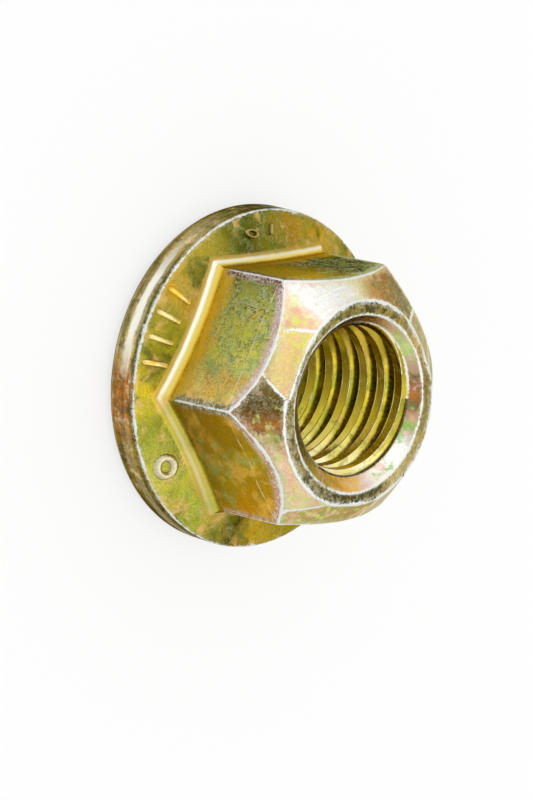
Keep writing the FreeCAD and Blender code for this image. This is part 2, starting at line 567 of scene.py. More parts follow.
# Plating film. A noise is given by its detail, roughness and distortion, an edge by its start and end
film = {
    "clouds": (5.0, 0.65, 0.3), "cloudEdge": (0.44, 0.56),
    "patches": (3.0, 0.55, 0.3), "patchRates": {"Spot": 1.3, "Tint": 1.9}, "patchNone": 0.72,
    "patchSpan": 0.36, "patchInside": 0.11, "patchOutside": 0.08, "patchCover": 0.85,
    "streaks": (4.0, 0.65, 0.2), "streakRate": 2.4, "streakContrast": 4.0, "darkest": 0.15,
    "cellShare": 0.55, "fine": (3.0, 0.65), "fineShare": 0.75, "fineRate": 1.4, "grainMiddle": 0.62,
    "fibrePatches": (0.8, 3.0, 0.6), "fibreEdge": (0.32, 0.52),
    "pale": (2.9, 0.05), "paleCover": 0.85, "paleRise": 0.5,
    "deep": (2.1, 0.06), "deepCover": 0.75, "deepColour": (0.035, 0.045, 0.01),
}


def addPatches(nodes, place, given):
    # Two tints in clouds, with patches of two more
    frequency = nodes.over(1.0, given["Patch Size"])
    cloud = nodes.noise(place, frequency, *film["clouds"])
    colour = nodes.blend(nodes.step(cloud, *film["cloudEdge"]), given["First"], given["Second"])
    for label, rate in film["patchRates"].items():
        patch = nodes.noise(place, nodes.times(frequency, rate), *film["patches"])
        edge = nodes.minus(film["patchNone"], nodes.times(given[label + " Share"], film["patchSpan"]))
        inside = nodes.minus(edge, film["patchInside"])
        mask = nodes.step(patch, inside, nodes.plus(edge, film["patchOutside"]))
        colour = nodes.blend(nodes.times(mask, film["patchCover"]), colour, given[label])
    return colour


def addGrain(nodes, place, given):
    # Fine grain of the plating
    rate = nodes.over(1.0, given["Grain Size"])
    cells = nodes.filled("ShaderNodeTexVoronoi", {"Vector": place, "Scale": rate}, feature="F1")
    cells = nodes.times(cells.outputs["Distance"], film["cellShare"])
    fine = nodes.noise(place, nodes.times(rate, film["fineRate"]), *film["fine"])
    return nodes.plus(cells, nodes.times(fine, film["fineShare"]))


def addStreaks(nodes, place, given):
    # Streaks that run round the axis
    x, y, height = nodes.axes(place)
    radius = nodes.math("SQRT", nodes.plus(nodes.times(x, x), nodes.times(y, y)))
    rolled = {"X": nodes.turn(x, y, given["Side"]), "Y": radius, "Z": height}
    rolled = {label: nodes.times(value, film["streakRate"]) for label, value in rolled.items()}
    rolled = nodes.filled("ShaderNodeCombineXYZ", rolled).outputs[0]
    streak = nodes.noise(rolled, 1.0, *film["streaks"])
    lines = nodes.times(nodes.minus(streak, 0.5), given["Streak Share"])
    return nodes.times(lines, film["streakContrast"])


def makeFilmGroup():
    # Plating: tints in clouds and patches, grain, streaks, and fibres of a pale and of a deep colour
    group, nodes, given, result = startGroup(
        "platingFilm", ("First", "Second", "Spot", "Tint", "Fibre"),
        ("Patch Size", "Spot Share", "Tint Share", "Streak Share", "Side", "Grain Size", "Grain Depth",
         "Fibre Share"),
        ("Colour", "Grain"))
    place = nodes.place()
    colour = addPatches(nodes, place, given)
    grain = addGrain(nodes, place, given)
    shade = nodes.plus(1.0, nodes.times(nodes.minus(grain, film["grainMiddle"]), given["Grain Depth"]))
    shade = nodes.plus(shade, addStreaks(nodes, place, given))
    shade = nodes.math("MAXIMUM", shade, film["darkest"])
    shades = nodes.filled("ShaderNodeCombineColor", {"Red": shade, "Green": shade, "Blue": shade})
    colour = nodes.blend(1.0, colour, shades.outputs[0], "MULTIPLY")
    where = nodes.step(nodes.noise(place, *film["fibrePatches"]), *film["fibreEdge"])
    where = nodes.times(where, given["Fibre Share"])
    pale = nodes.times(nodes.fibres(place, *film["pale"]), where)
    deep = nodes.times(nodes.fibres(place, *film["deep"]), where)
    colour = nodes.blend(nodes.times(deep, film["deepCover"]), colour, film["deepColour"])
    colour = nodes.blend(nodes.times(pale, film["paleCover"]), colour, given["Fibre"])
    nodes.feed(result["Colour"], colour)
    nodes.feed(result["Grain"], nodes.plus(grain, nodes.times(pale, film["paleRise"])))
    return group


# Worn edges. A noise is given by its scale, detail, roughness and distortion, an edge by its start and end
edgeWear = {
    "ragged": (2.8, 5.0, 0.75), "broad": (0.6, 2.0, 0.5),
    "haloRagged": 1.2, "haloEdge": (0.3, 0.6), "haloReach": (0.03, 0.3), "haloCover": 0.85,
    "fuzz": (2.4, 0.06), "fuzzReach": (0.15, 0.8),
    "bareRagged": 2.0, "bareBroad": 1.3, "bareEdge": (0.36, 0.66), "bareReach": (0.02, 0.2),
    "bareRoughness": 0.08, "pits": (2.7, 3.0, 0.6, 1.0), "pitNone": 0.75, "pitSpan": 0.3, "pitSoft": 0.06,
    "pitColour": (0.08, 0.08, 0.05),
}


def makeWearGroup():
    # Bright zinc along the worn edges, with dark pits in it; beside them fibres and a darker or pinker film
    group, nodes, given, result = startGroup(
        "edgeWear", ("Colour", "Bare", "Halo"), ("Roughness", "Amount", "Pits", "Halo Share", "Fuzz"),
        ("Colour", "Roughness"))
    place = nodes.place()
    near = nodes.value("near")
    onEdge = nodes.value("wear")
    ragged = nodes.wander(place, *edgeWear["ragged"])
    broad = nodes.wander(place, *edgeWear["broad"])
    beside = nodes.plus(nodes.times(near, given["Halo Share"]), nodes.times(ragged, edgeWear["haloRagged"]))
    beside = nodes.times(nodes.step(beside, *edgeWear["haloEdge"]), nodes.step(near, *edgeWear["haloReach"]))
    colour = nodes.blend(nodes.times(beside, edgeWear["haloCover"]), given["Colour"], given["Halo"])
    fuzz = nodes.times(nodes.fibres(place, *edgeWear["fuzz"]), nodes.step(near, *edgeWear["fuzzReach"]))
    colour = nodes.blend(nodes.times(fuzz, given["Fuzz"]), colour, given["Bare"])
    wear = nodes.plus(nodes.times(onEdge, given["Amount"]), nodes.times(ragged, edgeWear["bareRagged"]))
    wear = nodes.plus(wear, nodes.times(broad, edgeWear["bareBroad"]))
    mask = nodes.times(nodes.step(wear, *edgeWear["bareEdge"]), nodes.step(onEdge, *edgeWear["bareReach"]))
    pits = nodes.noise(place, *edgeWear["pits"])
    pitEdge = nodes.minus(edgeWear["pitNone"], nodes.times(given["Pits"], edgeWear["pitSpan"]))
    pitMask = nodes.times(nodes.step(pits, pitEdge, nodes.plus(pitEdge, edgeWear["pitSoft"])), mask)
    colour = nodes.blend(mask, colour, given["Bare"])
    dulled = nodes.times(mask, edgeWear["bareRoughness"])
    nodes.feed(result["Colour"], nodes.blend(pitMask, colour, edgeWear["pitColour"]))
    nodes.feed(result["Roughness"], nodes.plus(given["Roughness"], dulled))
    return group


def makeReliefGroup():
    # Height of the forged surface: soft waves and the plating's grain
    group, nodes, given, result = startGroup(
        "forgedRelief", (), ("Grain", "Wave Size", "Wave Depth", "Grain Depth"), ("Height",))
    waves = nodes.noise(nodes.place(), nodes.over(1.0, given["Wave Size"]), *shading["waves"])
    grain = nodes.times(given["Grain"], given["Grain Depth"])
    nodes.feed(result["Height"], nodes.plus(nodes.times(waves, given["Wave Depth"]), grain))
    return group


def makeTurnGroup():
    # Share of a full turn round the thread axis, from 0 to 1, counted from -X, slightly broken up
    group, nodes, given, result = startGroup("turnShare", (), ("Waver", "Waver Size"), ("Share",))
    place = nodes.place()
    turn = nodes.over(nodes.turn(*nodes.axes(place)[:2]), 2 * math.pi)
    waver = nodes.wander(place, nodes.over(1.0, given["Waver Size"]), *shading["waver"])
    nodes.feed(result["Share"], nodes.plus(nodes.plus(turn, 0.5), nodes.times(waver, given["Waver"])))
    return group


print("building the shared shader groups")
groups = {
    "film": makeFilmGroup(), "wear": makeWearGroup(), "relief": makeReliefGroup(), "turn": makeTurnGroup(),
}


def turnRamp(nodes, share, stops):
    # Colours or plain levels round the axis, each after its direction in degrees, or one for the whole turn.
    # Both ends of the ramp get the same one
    stops = stops if isinstance(stops, list) else [(0, stops)]
    stops = [(((degrees + 180) % 360) / 360, tuple(levels if len(levels) == 3 else levels * 3))
             for degrees, *levels in stops]
    stops.sort()
    (first, firstColour), (last, lastColour) = stops[0], stops[-1]
    weight = (1 - last) / (1 - last + first) if len(stops) > 1 and first > 0 else 1
    end = tuple(a * (1 - weight) + b * weight for a, b in zip(lastColour, firstColour))
    if first > 0:
        stops.insert(0, (0, end))
    stops.append((1, end))
    ramp = nodes.filled("ShaderNodeValToRGB", {"Fac": share})
    elements = ramp.color_ramp.elements
    for i, (position, colour) in enumerate(stops):
        element = elements.new(position) if 0 < i < len(stops) - 1 else elements[0 if i == 0 else -1]
        element.color = (*colour, 1)
    return ramp.outputs["Color"]


# Painted light: the bands, the golden foot reflection carried up the side, and the highlight line.
# A wander has its noise's scale, detail and roughness, and its reach
trims = {
    "bandWander": (0.5, 4.0, 0.7, 0.15), "bandStart": 0.08,
    "lowWander": (0.7, 4.0, 0.65, 1.6), "highlightLineWander": (0.35, 1.0, 0.5, 0.5),
    "highlightLineWidth": (0.01, 0.05), "highlightLineGaps": (1.1, 4.0, 0.7), "highlightLineEdge": (0.42, 0.55),
}


def wavering(nodes, value, settings):
    # A value that wanders from place to place
    *pattern, reach = settings
    return nodes.plus(value, nodes.times(nodes.wander(nodes.place(), *pattern), reach))


def addPaintedLightBands(nodes, share, colour, paintedLightBands):
    # Bands of painted highlight and painted shade that run round the rim and the foot, broken up a little
    across = nodes.value("across")
    broken = wavering(nodes, across, trims["bandWander"])
    inside = nodes.step(across, 0.0, trims["bandStart"])
    for band in paintedLightBands:
        low, high, soft = band["from"], band["to"], band["soft"]
        ended = nodes.minus(1.0, nodes.step(broken, high - soft, high + soft))
        mask = nodes.times(nodes.step(broken, low - soft, low + soft), ended)
        mask = nodes.times(nodes.times(mask, turnRamp(nodes, share, band["share"])), inside)
        colour = nodes.blend(mask, colour, band["colour"])
    return colour


def addLowColour(nodes, share, colour, look):
    # The golden colour of the foot's painted reflection runs up on to the side and fades
    height = wavering(nodes, nodes.axes(nodes.place())[2], trims["lowWander"])
    low = nodes.minus(1.0, nodes.step(height, look["lowFrom"], look["lowTo"]))
    return nodes.blend(nodes.times(low, turnRamp(nodes, share, look["lowShare"])), colour, look["lowColour"])


def addPaintedHighlightLine(nodes, colour, look):
    # A painted highlight: a fine bright line where the band starts to lean in
    height = wavering(nodes, nodes.axes(nodes.place())[2], trims["highlightLineWander"])
    off = nodes.math("ABSOLUTE", nodes.minus(height, look["highlightLineHeight"]))
    line = nodes.minus(1.0, nodes.step(off, *trims["highlightLineWidth"]))
    gaps = nodes.step(nodes.noise(nodes.place(), *trims["highlightLineGaps"]), *trims["highlightLineEdge"])
    return nodes.blend(nodes.times(line, gaps), colour, look["highlightLine"])


def makePlating(name, look):
    material = bpy.data.materials.new(name)
    material.use_nodes = True
    nodes = Nodes(material.node_tree)
    shader = material.node_tree.nodes["Principled BSDF"]

    def group(kind, values):
        return nodes.filled("ShaderNodeGroup", values, node_tree=groups[kind]).outputs

    def ramp(key):
        return turnRamp(nodes, share, look[key])

    share = group("turn", {"Waver": look["waver"], "Waver Size": look["waverSize"]})["Share"]
    tints = [ramp("first"), ramp("second")]
    if "pressedFirst" in look:
        pressed = nodes.value("pressed")
        keys = ("pressedFirst", "pressedSecond")
        tints = [nodes.blend(pressed, tint, ramp(key)) for tint, key in zip(tints, keys)]
    plated = group("film", {
        "First": tints[0], "Second": tints[1], "Spot": look["spot"], "Tint": look["tint"],
        "Spot Share": ramp("spotShare"), "Tint Share": ramp("tintShare"), "Patch Size": look["patchSize"],
        "Fibre": look["fibre"], "Fibre Share": ramp("fibreShare"), "Streak Share": look["streakShare"],
        "Side": look["side"], "Grain Size": look["grainSize"], "Grain Depth": look["grainTone"],
    })
    colour = plated["Colour"]
    if look["paintedLightBands"]:
        colour = addPaintedLightBands(nodes, share, colour, look["paintedLightBands"])
    if "lowColour" in look:
        colour = addLowColour(nodes, share, colour, look)
    if "highlightLineHeight" in look:
        colour = addPaintedHighlightLine(nodes, colour, look)
    grainRough = nodes.times(nodes.minus(plated["Grain"], shading["grainMiddle"]), shading["grainRoughness"])
    finished = group("wear", {
        "Colour": colour, "Roughness": nodes.plus(look["roughness"], grainRough), "Amount": look["wear"],
        "Bare": look["bare"], "Pits": look["pits"], "Halo": ramp("halo"), "Halo Share": look["haloShare"],
        "Fuzz": look["fuzz"],
    })
    relief = group("relief", {
        "Grain": plated["Grain"], "Wave Size": look["waveSize"], "Wave Depth": look["waveDepth"],
        "Grain Depth": look["grainDepth"],
    })
    bump = nodes.filled("ShaderNodeBump", {"Distance": mm, "Strength": 1.0, "Height": relief["Height"]})
    nodes.feed(shader.inputs["Base Color"], finished["Colour"])
    nodes.feed(shader.inputs["Roughness"], finished["Roughness"])
    nodes.feed(shader.inputs["Normal"], bump.outputs["Normal"])
    shader.inputs["Metallic"].default_value = look["metallic"]
    shader.inputs["Specular Tint"].default_value = (*look["edgeTint"], 1)
    return material


# What the plated surfaces share; each look below changes what differs on it. A run of colours or levels
# holds directions round the axis in degrees, each with its red, green and blue or its level
plating = {
    "waver": 0.02, "waverSize": 1.2, "spot": (0.6, 0.34, 0.06), "tint": (0.36, 0.42, 0.2), "patchSize": 1.6,
    "spotShare": 0.35, "tintShare": 0.25, "streakShare": 0.1, "side": 1.0, "grainSize": 0.12,
    "grainTone": 0.9, "fibre": (0.66, 0.68, 0.5), "fibreShare": 0.3, "wear": 0.9, "bare": (0.8, 0.82, 0.78),
    "pits": 0.25, "halo": [(0, 0.3, 0.2, 0.1)], "haloShare": 0.3, "paintedLightBands": [], "edgeTint": (0.6, 0.5, 0.2),
    "fuzz": 0.6, "waveSize": 0.9, "waveDepth": 0.02, "grainDepth": 0.02, "roughness": 0.38, "metallic": 1.0,
}

# Hexagon: green-yellow, golden brown and dark green sides, each flat with its own run of colour. The
# near-black green round turn -50 is painted shade; the low golden colour and the bright line at the band are
# painted light
sideLook = plating | {
    "first": [
        (-62, 0.03, 0.04, 0.005), (-38, 0.04, 0.06, 0.01), (-27, 0.4, 0.28, 0.03), (-16, 0.6, 0.4, 0.03),
        (-4, 0.7, 0.46, 0.05), (0, 0.3, 0.2, 0.08), (4, 0.2, 0.18, 0.03), (18, 0.4, 0.4, 0.04),
        (36, 0.62, 0.6, 0.07), (57, 0.86, 0.64, 0.2), (60, 0.6, 0.5, 0.3), (62, 0.36, 0.2, 0.012),
        (90, 0.38, 0.24, 0.012), (116, 0.54, 0.26, 0.012), (124, 0.34, 0.27, 0.05), (200, 0.4, 0.3, 0.05),
        (280, 0.24, 0.24, 0.05),
    ],
    "second": [
        (-62, 0.06, 0.09, 0.015), (-36, 0.1, 0.14, 0.02), (-27, 0.3, 0.24, 0.03), (-16, 0.56, 0.42, 0.05),
        (-4, 0.56, 0.42, 0.05), (2, 0.26, 0.28, 0.06), (20, 0.52, 0.5, 0.07), (40, 0.5, 0.6, 0.14),
        (57, 0.78, 0.78, 0.2), (62, 0.38, 0.23, 0.012), (90, 0.36, 0.29, 0.02), (116, 0.44, 0.27, 0.015),
        (124, 0.28, 0.26, 0.06), (200, 0.3, 0.3, 0.06), (280, 0.36, 0.26, 0.05),
    ],
    "halo": [
        (-58, 0.6, 0.64, 0.36), (-30, 0.42, 0.5, 0.16), (-8, 0.5, 0.46, 0.2), (-2, 0.2, 0.07, 0.08),
        (2, 0.22, 0.08, 0.09), (5, 0.6, 0.36, 0.36), (54, 0.66, 0.42, 0.34), (58, 0.16, 0.14, 0.04),
        (61, 0.2, 0.15, 0.04), (65, 0.5, 0.3, 0.2), (112, 0.6, 0.3, 0.2), (118, 0.5, 0.26, 0.14),
        (122, 0.5, 0.3, 0.1), (240, 0.4, 0.3, 0.15),
    ],
    "fibreShare": [
        (-60, 0.9), (-30, 0.9), (-20, 0.1), (-1, 0.1), (1, 1.0), (20, 0.9), (40, 0.6), (58, 0.35), (61, 0.08),
        (116, 0.12), (180, 0.3),
    ],
    "spotShare": [
        (-62, 0.0), (-30, 0.1), (-12, 0.3), (2, 0.05), (24, 0.2), (40, 0.5), (58, 0.6), (62, 0.3), (116, 0.4),
        (200, 0.3),
    ],
    "tintShare": [
        (-62, 0.3), (-26, 0.2), (-16, 0.0), (-2, 0.1), (2, 0.3), (40, 0.4), (58, 0.2), (62, 0.05), (90, 0.25),
        (116, 0.1), (200, 0.3),
    ],
    "lowShare": [(-60, 0.8), (-2, 0.85), (2, 0.95), (58, 0.9), (62, 0.0), (118, 0.0), (130, 0.4), (230, 0.4)],
    "edgeTint": (0.4, 0.34, 0.1), "spot": (0.74, 0.44, 0.08), "tint": (0.34, 0.42, 0.13), "patchSize": 2.2,
    "haloShare": 0.85, "roughness": 0.38, "fibre": (0.6, 0.66, 0.4), "highlightLineHeight": 8.6,
    "highlightLine": (0.86, 0.66, 0.42), "lowColour": (0.84, 0.54, 0.04), "lowFrom": 4.2, "lowTo": 5.4,
}

# Crown: a painted highlight, pale and nearly white, towards the key light; olive and pink elsewhere, with
# yellow pressed facets
crownLook = plating | {
    "first": [
        (-100, 0.4, 0.33, 0.12), (-68, 0.14, 0.11, 0.02), (-58, 0.3, 0.15, 0.02), (-48, 0.5, 0.22, 0.03),
        (-38, 0.7, 0.4, 0.12), (-31, 0.86, 0.8, 0.5), (-24, 0.9, 0.88, 0.78), (0, 0.9, 0.88, 0.82),
        (6, 0.84, 0.44, 0.38), (13, 0.72, 0.72, 0.16), (36, 0.26, 0.22, 0.06), (56, 0.14, 0.08, 0.014),
        (62, 0.2, 0.09, 0.014), (66, 0.44, 0.17, 0.025), (70, 0.12, 0.07, 0.02), (76, 0.4, 0.36, 0.1),
        (86, 0.95, 0.62, 0.38), (100, 0.98, 0.66, 0.3), (116, 0.95, 0.7, 0.48), (128, 0.6, 0.5, 0.24),
        (172, 0.46, 0.38, 0.24), (215, 0.4, 0.34, 0.1),
    ],
    "second": [
        (-100, 0.3, 0.28, 0.1), (-66, 0.2, 0.15, 0.02), (-54, 0.42, 0.22, 0.03), (-44, 0.4, 0.24, 0.05),
        (-34, 0.8, 0.7, 0.34), (-28, 0.86, 0.85, 0.66), (-20, 0.9, 0.89, 0.85), (0, 0.9, 0.9, 0.86),
        (6, 0.8, 0.78, 0.36), (13, 0.84, 0.44, 0.32), (36, 0.14, 0.14, 0.04), (57, 0.1, 0.07, 0.015),
        (63, 0.26, 0.11, 0.015), (67, 0.36, 0.14, 0.02), (74, 0.5, 0.46, 0.14), (86, 0.9, 0.72, 0.4),
        (100, 0.95, 0.74, 0.36), (116, 0.8, 0.74, 0.4), (128, 0.5, 0.45, 0.2), (172, 0.5, 0.45, 0.28),
        (215, 0.34, 0.3, 0.12),
    ],
    "pressedFirst": [
        (20, 0.8, 0.72, 0.17), (46, 0.8, 0.6, 0.24), (70, 0.8, 0.7, 0.3), (125, 0.55, 0.4, 0.1),
        (150, 0.4, 0.27, 0.04), (200, 0.4, 0.27, 0.05), (260, 0.45, 0.36, 0.14), (290, 0.4, 0.34, 0.12),
    ],
    "pressedSecond": [
        (20, 0.8, 0.62, 0.22), (46, 0.82, 0.54, 0.28), (70, 0.8, 0.7, 0.3), (125, 0.42, 0.4, 0.1),
        (150, 0.36, 0.3, 0.05), (200, 0.4, 0.27, 0.05), (260, 0.6, 0.5, 0.3), (290, 0.36, 0.34, 0.14),
    ],
    "halo": [
        (-60, 0.7, 0.5, 0.2), (-20, 0.8, 0.75, 0.4), (0, 0.85, 0.6, 0.55), (20, 0.8, 0.7, 0.3),
        (56, 0.3, 0.2, 0.08), (70, 0.5, 0.3, 0.1), (100, 0.6, 0.7, 0.35), (150, 0.5, 0.4, 0.2),
    ],
    "fibreShare": [
        (-60, 0.6), (-40, 0.3), (-28, 0.0), (10, 0.0), (44, 0.2), (56, 0.4), (66, 0.2), (76, 0.4), (90, 0.1),
        (180, 0.3), (240, 0.4),
    ],
    "spotShare": [
        (-60, 0.1), (-20, 0.0), (0, 0.1), (10, 0.4), (40, 0.2), (60, 0.1), (80, 0.5), (120, 0.45), (180, 0.2),
    ],
    "tintShare": [
        (-60, 0.1), (-20, 0.0), (0, 0.1), (14, 0.3), (50, 0.0), (70, 0.3), (100, 0.3), (120, 0.4), (180, 0.1),
    ],
    "spot": (0.9, 0.5, 0.4), "tint": (0.7, 0.78, 0.22), "patchSize": 1.0, "edgeTint": (0.9, 0.85, 0.6),
    "grainTone": 0.3, "grainSize": 0.16, "haloShare": 0.6, "roughness": 0.33, "wear": 1.0, "fuzz": 0.3,
    "bare": (0.88, 0.9, 0.88), "waver": 0.012, "waverSize": 0.6,
}

# Land: worn silver and olive cells with dark pits
landLook = plating | {
    "first": [
        (-180, 0.66, 0.48, 0.2), (-150, 0.42, 0.32, 0.07), (-120, 0.3, 0.2, 0.04), (-90, 0.58, 0.36, 0.1),
        (-60, 0.36, 0.24, 0.04), (-30, 0.2, 0.15, 0.02), (0, 0.24, 0.18, 0.03), (30, 0.24, 0.19, 0.04),
        (60, 0.26, 0.2, 0.05), (90, 0.28, 0.2, 0.05), (120, 0.16, 0.12, 0.03), (150, 0.09, 0.07, 0.015),
        (170, 0.3, 0.22, 0.06),
    ],
    "second": [
        (-180, 0.42, 0.35, 0.14), (-120, 0.22, 0.17, 0.04), (-90, 0.36, 0.27, 0.09), (-60, 0.3, 0.24, 0.06),
        (-30, 0.28, 0.22, 0.04), (0, 0.32, 0.27, 0.07), (30, 0.36, 0.3, 0.1), (60, 0.4, 0.36, 0.18),
        (90, 0.4, 0.35, 0.18), (120, 0.3, 0.26, 0.12), (150, 0.16, 0.13, 0.03), (170, 0.36, 0.3, 0.1),
    ],
    "spotShare": [
        (-180, 0.1), (-150, 0.2), (-90, 0.15), (-60, 0.4), (-30, 0.6), (0, 0.35), (30, 0.2), (60, 0.3),
        (90, 0.4), (120, 0.6), (150, 0.8), (170, 0.5),
    ],
    "tintShare": [
        (-180, 0.4), (-150, 0.2), (-90, 0.2), (0, 0.25), (60, 0.25), (120, 0.25), (150, 0.1), (170, 0.3),
    ],
    "spot": (0.05, 0.042, 0.009), "tint": (0.5, 0.45, 0.24), "patchSize": 0.6, "edgeTint": (0.5, 0.45, 0.3),
    "halo": [(0, 0.16, 0.14, 0.05)], "fibreShare": 0.15, "grainTone": 1.0, "grainSize": 0.16,
    "roughness": 0.42, "wear": 0.78, "pits": 0.4, "waveSize": 0.4, "waveDepth": 0.04,
}

# Hole's mouth: smooth, with broad bands of green, pink and orange, and a painted white highlight round turn
# 180
mouthLook = plating | {
    "first": [
        (-180, 0.95, 0.92, 0.84), (-160, 0.95, 0.93, 0.86), (-153, 0.25, 0.55, 0.12), (-146, 0.3, 0.5, 0.1),
        (-140, 0.75, 0.4, 0.28), (-132, 0.24, 0.12, 0.03), (-122, 0.5, 0.19, 0.03), (-112, 0.12, 0.1, 0.03),
        (-103, 0.34, 0.4, 0.06), (-88, 0.6, 0.74, 0.26), (-74, 0.72, 0.76, 0.3), (-64, 0.92, 0.7, 0.56),
        (-52, 0.85, 0.5, 0.2), (-36, 0.7, 0.34, 0.08), (-20, 0.3, 0.2, 0.05), (30, 0.3, 0.25, 0.08),
        (90, 0.4, 0.3, 0.06), (118, 0.55, 0.4, 0.06), (132, 0.75, 0.42, 0.05), (148, 0.8, 0.5, 0.1),
        (158, 0.75, 0.6, 0.62), (166, 0.93, 0.85, 0.7),
    ],
    "second": [
        (-180, 0.95, 0.9, 0.86), (-160, 0.94, 0.92, 0.9), (-148, 0.6, 0.45, 0.3), (-130, 0.2, 0.18, 0.07),
        (-120, 0.3, 0.14, 0.06), (-106, 0.5, 0.32, 0.2), (-90, 0.7, 0.6, 0.45), (-76, 0.5, 0.66, 0.2),
        (-62, 0.75, 0.5, 0.3), (-48, 0.76, 0.4, 0.12), (-20, 0.26, 0.17, 0.04), (90, 0.3, 0.26, 0.06),
        (132, 0.55, 0.3, 0.05), (152, 0.8, 0.5, 0.16), (166, 0.92, 0.85, 0.72),
    ],
    "tintShare": [(-160, 0.3), (-140, 0.2), (-80, 0.1), (-40, 0.0), (100, 0.0), (160, 0.1), (175, 0.3)],
    "spot": (0.86, 0.5, 0.42), "tint": (0.3, 0.56, 0.12), "patchSize": 0.9, "spotShare": 0.25,
    "edgeTint": (0.9, 0.85, 0.6), "grainTone": 0.2, "grainSize": 0.2, "fibreShare": 0.05, "streakShare": 0.12,
    "side": -1.0, "halo": [(0, 0.6, 0.5, 0.3)], "haloShare": 0.5, "roughness": 0.28, "wear": 0.85,
    "bare": (0.86, 0.86, 0.8), "grainDepth": 0.006, "waveDepth": 0.02, "waver": 0.02, "waverSize": 1.0,
}

# Thread: glossy gold, with tan-pink crests. Painted light makes it pale round turns 135 to 160, painted shade
# dark round turn 262
threadLook = plating | {
    "first": [
        (0, 0.28, 0.22, 0.03), (100, 0.6, 0.46, 0.1), (135, 0.98, 0.9, 0.56), (160, 0.98, 0.92, 0.6),
        (185, 0.9, 0.76, 0.22), (205, 0.7, 0.56, 0.05), (240, 0.6, 0.48, 0.03), (262, 0.36, 0.26, 0.015),
        (285, 0.5, 0.38, 0.03), (315, 0.34, 0.26, 0.03),
    ],
    "second": [
        (0, 0.2, 0.16, 0.02), (100, 0.4, 0.33, 0.05), (135, 0.9, 0.72, 0.3), (160, 0.88, 0.76, 0.3),
        (185, 0.66, 0.6, 0.1), (205, 0.44, 0.42, 0.03), (240, 0.34, 0.32, 0.02), (262, 0.44, 0.3, 0.03),
        (285, 0.66, 0.48, 0.05), (315, 0.42, 0.28, 0.04),
    ],
    "pressedFirst": [
        (0, 0.3, 0.2, 0.02), (100, 0.6, 0.44, 0.1), (140, 0.95, 0.8, 0.44), (178, 0.88, 0.76, 0.24),
        (198, 0.74, 0.6, 0.06), (214, 0.56, 0.43, 0.025), (234, 0.28, 0.19, 0.008), (262, 0.15, 0.11, 0.004),
        (285, 0.4, 0.27, 0.02), (315, 0.26, 0.17, 0.01),
    ],
    "pressedSecond": [
        (0, 0.3, 0.2, 0.02), (100, 0.6, 0.42, 0.1), (140, 0.96, 0.8, 0.46), (180, 0.8, 0.7, 0.22),
        (202, 0.78, 0.66, 0.08), (224, 0.44, 0.33, 0.015), (244, 0.23, 0.16, 0.006), (262, 0.28, 0.19, 0.01),
        (285, 0.3, 0.21, 0.015), (315, 0.3, 0.2, 0.02),
    ],
    "spot": (0.7, 0.46, 0.1), "tint": (0.3, 0.3, 0.03), "patchSize": 1.8, "spotShare": 0.2, "tintShare": 0.2,
    "streakShare": 0.12, "side": -1.0, "grainTone": 0.12, "grainSize": 0.22, "fibreShare": 0.04,
    "roughness": 0.17, "wear": 0.8, "bare": (0.95, 0.86, 0.62), "pits": 0, "grainDepth": 0.002,
    "waveDepth": 0.008, "edgeTint": (0.9, 0.75, 0.3),
}

# Flange's sloping top: tan, olive and green patches. The near-black patches round turns -18 and 135 are
# painted shadow
flangeLook = plating | {
    "first": [
        (-80, 0.147, 0.155, 0.02), (-62, 0.589, 0.361, 0.03), (-46, 0.423, 0.232, 0.02),
        (-32, 0.239, 0.189, 0.01), (-18, 0.055, 0.069, 0.005), (-6, 0.331, 0.275, 0.02),
        (4, 0.57, 0.396, 0.05), (18, 0.626, 0.378, 0.04), (28, 0.44, 0.34, 0.02), (38, 0.3, 0.3, 0.012),
        (48, 0.4, 0.27, 0.014), (58, 0.66, 0.45, 0.03), (68, 0.5, 0.42, 0.025), (76, 0.3, 0.33, 0.015),
        (90, 0.54, 0.46, 0.08), (106, 0.46, 0.361, 0.04), (116, 0.276, 0.361, 0.025),
        (122, 0.497, 0.378, 0.035), (128, 0.276, 0.224, 0.015), (135, 0.046, 0.039, 0.002),
        (146, 0.607, 0.378, 0.015), (160, 0.368, 0.275, 0.02), (220, 0.35, 0.249, 0.025),
    ],
    "second": [
        (-80, 0.184, 0.206, 0.03), (-62, 0.46, 0.344, 0.025), (-32, 0.147, 0.172, 0.01),
        (-18, 0.11, 0.138, 0.01), (4, 0.46, 0.361, 0.03), (20, 0.552, 0.396, 0.08), (32, 0.32, 0.29, 0.015),
        (58, 0.58, 0.45, 0.025), (72, 0.24, 0.27, 0.015), (90, 0.46, 0.42, 0.04), (112, 0.36, 0.42, 0.03),
        (126, 0.368, 0.292, 0.02), (134, 0.092, 0.077, 0.005), (146, 0.423, 0.284, 0.015),
        (220, 0.276, 0.224, 0.025),
    ],
    "fibreShare": [(-60, 0.35), (-20, 0.4), (10, 0.12), (60, 0.15), (84, 0.5), (100, 0.4), (180, 0.2)],
    "spot": (0.1, 0.12, 0.01), "tint": (0.74, 0.46, 0.14), "patchSize": 2.4, "spotShare": 0.3,
    "tintShare": 0.25, "fibre": (0.6, 0.6, 0.3), "streakShare": 0.05, "grainTone": 0.6, "roughness": 0.33,
    "waveDepth": 0.035, "waver": 0.035, "halo": [(0, 0.3, 0.27, 0.08)], "fuzz": 0.2,
}
